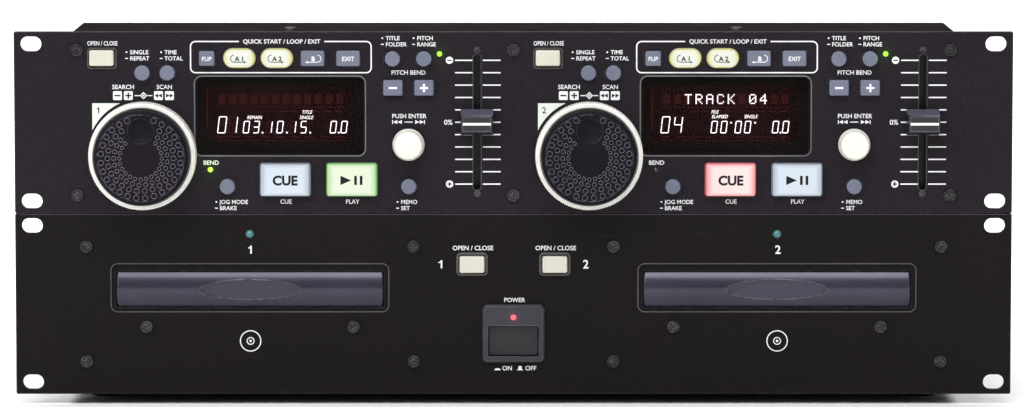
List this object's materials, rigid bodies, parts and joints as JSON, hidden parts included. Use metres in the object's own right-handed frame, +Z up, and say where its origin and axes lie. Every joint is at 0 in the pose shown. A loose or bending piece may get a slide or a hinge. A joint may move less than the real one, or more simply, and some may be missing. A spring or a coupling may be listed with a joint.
{
  "type": "twin disc player with remote controller",
  "caption": "Rack-mount twin disc player: remote controller with jog wheels, displays and pitch faders on a drive unit with sliding disc trays.",
  "frame": {"origin": "centre of the footprint at the bottom of the feet, stacked units at rest", "axes": "+X to the right along the front panels, -Y out of the front, +Z up"},
  "size_m": [0.4826, 0.272, 0.1827],
  "materials": {
    "panel": "matte textured",
    "case": "satin",
    "window": "gloss tinted",
    "board": "satin solder mask",
    "screw": "black oxide",
    "foot": "matte",
    "bezel": "satin",
    "dark_button": "satin",
    "loader": "matte",
    "tray": "satin",
    "cream_key": "satin",
    "blue_grey_key": "satin",
    "lit_key": "translucent satin",
    "jog": "satin textured",
    "shuttle": "satin",
    "cream_knob": "satin",
    "shaft": "turned",
    "fader": "satin"
  },
  "bodies": {
    "drive": {"drive_front_panel": "panel", "drive_chassis": "case", "drive_top_cover": "case", "rubber_feet": "foot", "power_switch_bezel": "bezel", "disc_loaders": "loader", "drive_boards": "board", "drive_screws": "screw"},
    "controller": {"controller_front_panel": "panel", "controller_rear_case": "case", "controller_windows": "window", "controller_board": "board", "controller_screws": "screw"},
    "power_button": {"power_button": "dark_button"},
    "open_key_1": {"open_key_1": "cream_key"},
    "mode_button_1": {"mode_button_1": "blue_grey_key"},
    "time_button_1": {"time_button_1": "blue_grey_key"},
    "flip_key_1": {"flip_key_1": "blue_grey_key"},
    "start_a1_key_1": {"start_a1_key_1": "lit_key"},
    "start_a2_key_1": {"start_a2_key_1": "lit_key"},
    "loop_b_key_1": {"loop_b_key_1": "blue_grey_key"},
    "exit_key_1": {"exit_key_1": "blue_grey_key"},
    "title_button_1": {"title_button_1": "blue_grey_key"},
    "range_button_1": {"range_button_1": "blue_grey_key"},
    "bend_minus_key_1": {"bend_minus_key_1": "blue_grey_key"},
    "bend_plus_key_1": {"bend_plus_key_1": "blue_grey_key"},
    "jog_mode_button_1": {"jog_mode_button_1": "blue_grey_key"},
    "memo_button_1": {"memo_button_1": "blue_grey_key"},
    "cue_key_1": {"cue_key_1": "lit_key"},
    "play_key_1": {"play_key_1": "lit_key"},
    "drive_open_key_1": {"drive_open_key_1": "cream_key"},
    "disc_tray_1": {"disc_tray_1": "tray"},
    "jog_wheel_1": {"jog_wheel_1": "jog"},
    "shuttle_ring_1": {"shuttle_ring_1": "shuttle"},
    "select_shaft_1": {"select_shaft_1": "shaft"},
    "select_knob_1": {"select_knob_1": "cream_knob"},
    "pitch_fader_cap_1": {"pitch_fader_cap_1": "fader"},
    "open_key_2": {"open_key_2": "cream_key"},
    "mode_button_2": {"mode_button_2": "blue_grey_key"},
    "time_button_2": {"time_button_2": "blue_grey_key"},
    "flip_key_2": {"flip_key_2": "blue_grey_key"},
    "start_a1_key_2": {"start_a1_key_2": "lit_key"},
    "start_a2_key_2": {"start_a2_key_2": "lit_key"},
    "loop_b_key_2": {"loop_b_key_2": "blue_grey_key"},
    "exit_key_2": {"exit_key_2": "blue_grey_key"},
    "title_button_2": {"title_button_2": "blue_grey_key"},
    "range_button_2": {"range_button_2": "blue_grey_key"},
    "bend_minus_key_2": {"bend_minus_key_2": "blue_grey_key"},
    "bend_plus_key_2": {"bend_plus_key_2": "blue_grey_key"},
    "jog_mode_button_2": {"jog_mode_button_2": "blue_grey_key"},
    "memo_button_2": {"memo_button_2": "blue_grey_key"},
    "cue_key_2": {"cue_key_2": "lit_key"},
    "play_key_2": {"play_key_2": "lit_key"},
    "drive_open_key_2": {"drive_open_key_2": "cream_key"},
    "disc_tray_2": {"disc_tray_2": "tray"},
    "jog_wheel_2": {"jog_wheel_2": "jog"},
    "shuttle_ring_2": {"shuttle_ring_2": "shuttle"},
    "select_shaft_2": {"select_shaft_2": "shaft"},
    "select_knob_2": {"select_knob_2": "cream_knob"},
    "pitch_fader_cap_2": {"pitch_fader_cap_2": "fader"}
  },
  "joints": [
    {"name": "controller_lift", "type": "slide", "parent": "drive", "child": "controller", "axis": [0, 0, 1], "range_m": [0, 0.12]},
    {"name": "power_button_latch", "type": "slide", "parent": "drive", "child": "power_button", "axis": [0, -1, 0], "range_m": [-0.0005, 0.0035]},
    {"name": "open_key_1_push", "type": "slide", "parent": "controller", "child": "open_key_1", "axis": [0, 1, 0], "range_m": [0, 0.0012], "stiffness_N_per_m": 300},
    {"name": "mode_button_1_push", "type": "slide", "parent": "controller", "child": "mode_button_1", "axis": [0, 1, 0], "range_m": [0, 0.0012], "stiffness_N_per_m": 300},
    {"name": "time_button_1_push", "type": "slide", "parent": "controller", "child": "time_button_1", "axis": [0, 1, 0], "range_m": [0, 0.0012], "stiffness_N_per_m": 300},
    {"name": "flip_key_1_push", "type": "slide", "parent": "controller", "child": "flip_key_1", "axis": [0, 1, 0], "range_m": [0, 0.0012], "stiffness_N_per_m": 300},
    {"name": "start_a1_key_1_push", "type": "slide", "parent": "controller", "child": "start_a1_key_1", "axis": [0, 1, 0], "range_m": [0, 0.0012], "stiffness_N_per_m": 300},
    {"name": "start_a2_key_1_push", "type": "slide", "parent": "controller", "child": "start_a2_key_1", "axis": [0, 1, 0], "range_m": [0, 0.0012], "stiffness_N_per_m": 300},
    {"name": "loop_b_key_1_push", "type": "slide", "parent": "controller", "child": "loop_b_key_1", "axis": [0, 1, 0], "range_m": [0, 0.0012], "stiffness_N_per_m": 300},
    {"name": "exit_key_1_push", "type": "slide", "parent": "controller", "child": "exit_key_1", "axis": [0, 1, 0], "range_m": [0, 0.0012], "stiffness_N_per_m": 300},
    {"name": "title_button_1_push", "type": "slide", "parent": "controller", "child": "title_button_1", "axis": [0, 1, 0], "range_m": [0, 0.0012], "stiffness_N_per_m": 300},
    {"name": "range_button_1_push", "type": "slide", "parent": "controller", "child": "range_button_1", "axis": [0, 1, 0], "range_m": [0, 0.0012], "stiffness_N_per_m": 300},
    {"name": "bend_minus_key_1_push", "type": "slide", "parent": "controller", "child": "bend_minus_key_1", "axis": [0, 1, 0], "range_m": [0, 0.0012], "stiffness_N_per_m": 300},
    {"name": "bend_plus_key_1_push", "type": "slide", "parent": "controller", "child": "bend_plus_key_1", "axis": [0, 1, 0], "range_m": [0, 0.0012], "stiffness_N_per_m": 300},
    {"name": "jog_mode_button_1_push", "type": "slide", "parent": "controller", "child": "jog_mode_button_1", "axis": [0, 1, 0], "range_m": [0, 0.0012], "stiffness_N_per_m": 300},
    {"name": "memo_button_1_push", "type": "slide", "parent": "controller", "child": "memo_button_1", "axis": [0, 1, 0], "range_m": [0, 0.0012], "stiffness_N_per_m": 300},
    {"name": "cue_key_1_push", "type": "slide", "parent": "controller", "child": "cue_key_1", "axis": [0, 1, 0], "range_m": [0, 0.0012], "stiffness_N_per_m": 300},
    {"name": "play_key_1_push", "type": "slide", "parent": "controller", "child": "play_key_1", "axis": [0, 1, 0], "range_m": [0, 0.0012], "stiffness_N_per_m": 300},
    {"name": "drive_open_key_1_push", "type": "slide", "parent": "drive", "child": "drive_open_key_1", "axis": [0, 1, 0], "range_m": [0, 0.0012], "stiffness_N_per_m": 300},
    {"name": "disc_tray_1_slide", "type": "slide", "parent": "drive", "child": "disc_tray_1", "axis": [0, -1, 0], "range_m": [0, 0.14]},
    {"name": "jog_wheel_1_turn", "type": "hinge", "parent": "controller", "child": "jog_wheel_1", "pos_m": [-0.1789, -0.114, 0.12165], "axis": [0, 1, 0], "continuous": true},
    {"name": "shuttle_ring_1_turn", "type": "hinge", "parent": "controller", "child": "shuttle_ring_1", "pos_m": [-0.1789, -0.114, 0.12165], "axis": [0, 1, 0], "range_deg": [-60, 60], "stiffness_Nm_per_rad": 0.05},
    {"name": "select_shaft_1_push", "type": "slide", "parent": "controller", "child": "select_shaft_1", "axis": [0, 1, 0], "range_m": [0, 0.0005], "stiffness_N_per_m": 600},
    {"name": "select_knob_1_turn", "type": "hinge", "parent": "select_shaft_1", "child": "select_knob_1", "pos_m": [-0.0507, -0.114, 0.12655], "axis": [0, 1, 0], "continuous": true},
    {"name": "pitch_fader_cap_1_slide", "type": "slide", "parent": "controller", "child": "pitch_fader_cap_1", "axis": [0, 0, 1], "range_m": [-0.03, 0.03]},
    {"name": "open_key_2_push", "type": "slide", "parent": "controller", "child": "open_key_2", "axis": [0, 1, 0], "range_m": [0, 0.0012], "stiffness_N_per_m": 300},
    {"name": "mode_button_2_push", "type": "slide", "parent": "controller", "child": "mode_button_2", "axis": [0, 1, 0], "range_m": [0, 0.0012], "stiffness_N_per_m": 300},
    {"name": "time_button_2_push", "type": "slide", "parent": "controller", "child": "time_button_2", "axis": [0, 1, 0], "range_m": [0, 0.0012], "stiffness_N_per_m": 300},
    {"name": "flip_key_2_push", "type": "slide", "parent": "controller", "child": "flip_key_2", "axis": [0, 1, 0], "range_m": [0, 0.0012], "stiffness_N_per_m": 300},
    {"name": "start_a1_key_2_push", "type": "slide", "parent": "controller", "child": "start_a1_key_2", "axis": [0, 1, 0], "range_m": [0, 0.0012], "stiffness_N_per_m": 300},
    {"name": "start_a2_key_2_push", "type": "slide", "parent": "controller", "child": "start_a2_key_2", "axis": [0, 1, 0], "range_m": [0, 0.0012], "stiffness_N_per_m": 300},
    {"name": "loop_b_key_2_push", "type": "slide", "parent": "controller", "child": "loop_b_key_2", "axis": [0, 1, 0], "range_m": [0, 0.0012], "stiffness_N_per_m": 300},
    {"name": "exit_key_2_push", "type": "slide", "parent": "controller", "child": "exit_key_2", "axis": [0, 1, 0], "range_m": [0, 0.0012], "stiffness_N_per_m": 300},
    {"name": "title_button_2_push", "type": "slide", "parent": "controller", "child": "title_button_2", "axis": [0, 1, 0], "range_m": [0, 0.0012], "stiffness_N_per_m": 300},
    {"name": "range_button_2_push", "type": "slide", "parent": "controller", "child": "range_button_2", "axis": [0, 1, 0], "range_m": [0, 0.0012], "stiffness_N_per_m": 300},
    {"name": "bend_minus_key_2_push", "type": "slide", "parent": "controller", "child": "bend_minus_key_2", "axis": [0, 1, 0], "range_m": [0, 0.0012], "stiffness_N_per_m": 300},
    {"name": "bend_plus_key_2_push", "type": "slide", "parent": "controller", "child": "bend_plus_key_2", "axis": [0, 1, 0], "range_m": [0, 0.0012], "stiffness_N_per_m": 300},
    {"name": "jog_mode_button_2_push", "type": "slide", "parent": "controller", "child": "jog_mode_button_2", "axis": [0, 1, 0], "range_m": [0, 0.0012], "stiffness_N_per_m": 300},
    {"name": "memo_button_2_push", "type": "slide", "parent": "controller", "child": "memo_button_2", "axis": [0, 1, 0], "range_m": [0, 0.0012], "stiffness_N_per_m": 300},
    {"name": "cue_key_2_push", "type": "slide", "parent": "controller", "child": "cue_key_2", "axis": [0, 1, 0], "range_m": [0, 0.0012], "stiffness_N_per_m": 300},
    {"name": "play_key_2_push", "type": "slide", "parent": "controller", "child": "play_key_2", "axis": [0, 1, 0], "range_m": [0, 0.0012], "stiffness_N_per_m": 300},
    {"name": "drive_open_key_2_push", "type": "slide", "parent": "drive", "child": "drive_open_key_2", "axis": [0, 1, 0], "range_m": [0, 0.0012], "stiffness_N_per_m": 300},
    {"name": "disc_tray_2_slide", "type": "slide", "parent": "drive", "child": "disc_tray_2", "axis": [0, -1, 0], "range_m": [0, 0.14]},
    {"name": "jog_wheel_2_turn", "type": "hinge", "parent": "controller", "child": "jog_wheel_2", "pos_m": [0.0365, -0.114, 0.12165], "axis": [0, 1, 0], "continuous": true},
    {"name": "shuttle_ring_2_turn", "type": "hinge", "parent": "controller", "child": "shuttle_ring_2", "pos_m": [0.0365, -0.114, 0.12165], "axis": [0, 1, 0], "range_deg": [-60, 60], "stiffness_Nm_per_rad": 0.05},
    {"name": "select_shaft_2_push", "type": "slide", "parent": "controller", "child": "select_shaft_2", "axis": [0, 1, 0], "range_m": [0, 0.0005], "stiffness_N_per_m": 600},
    {"name": "select_knob_2_turn", "type": "hinge", "parent": "select_shaft_2", "child": "select_knob_2", "pos_m": [0.1647, -0.114, 0.12655], "axis": [0, 1, 0], "continuous": true},
    {"name": "pitch_fader_cap_2_slide", "type": "slide", "parent": "controller", "child": "pitch_fader_cap_2", "axis": [0, 0, 1], "range_m": [-0.03, 0.03]}
  ]
}
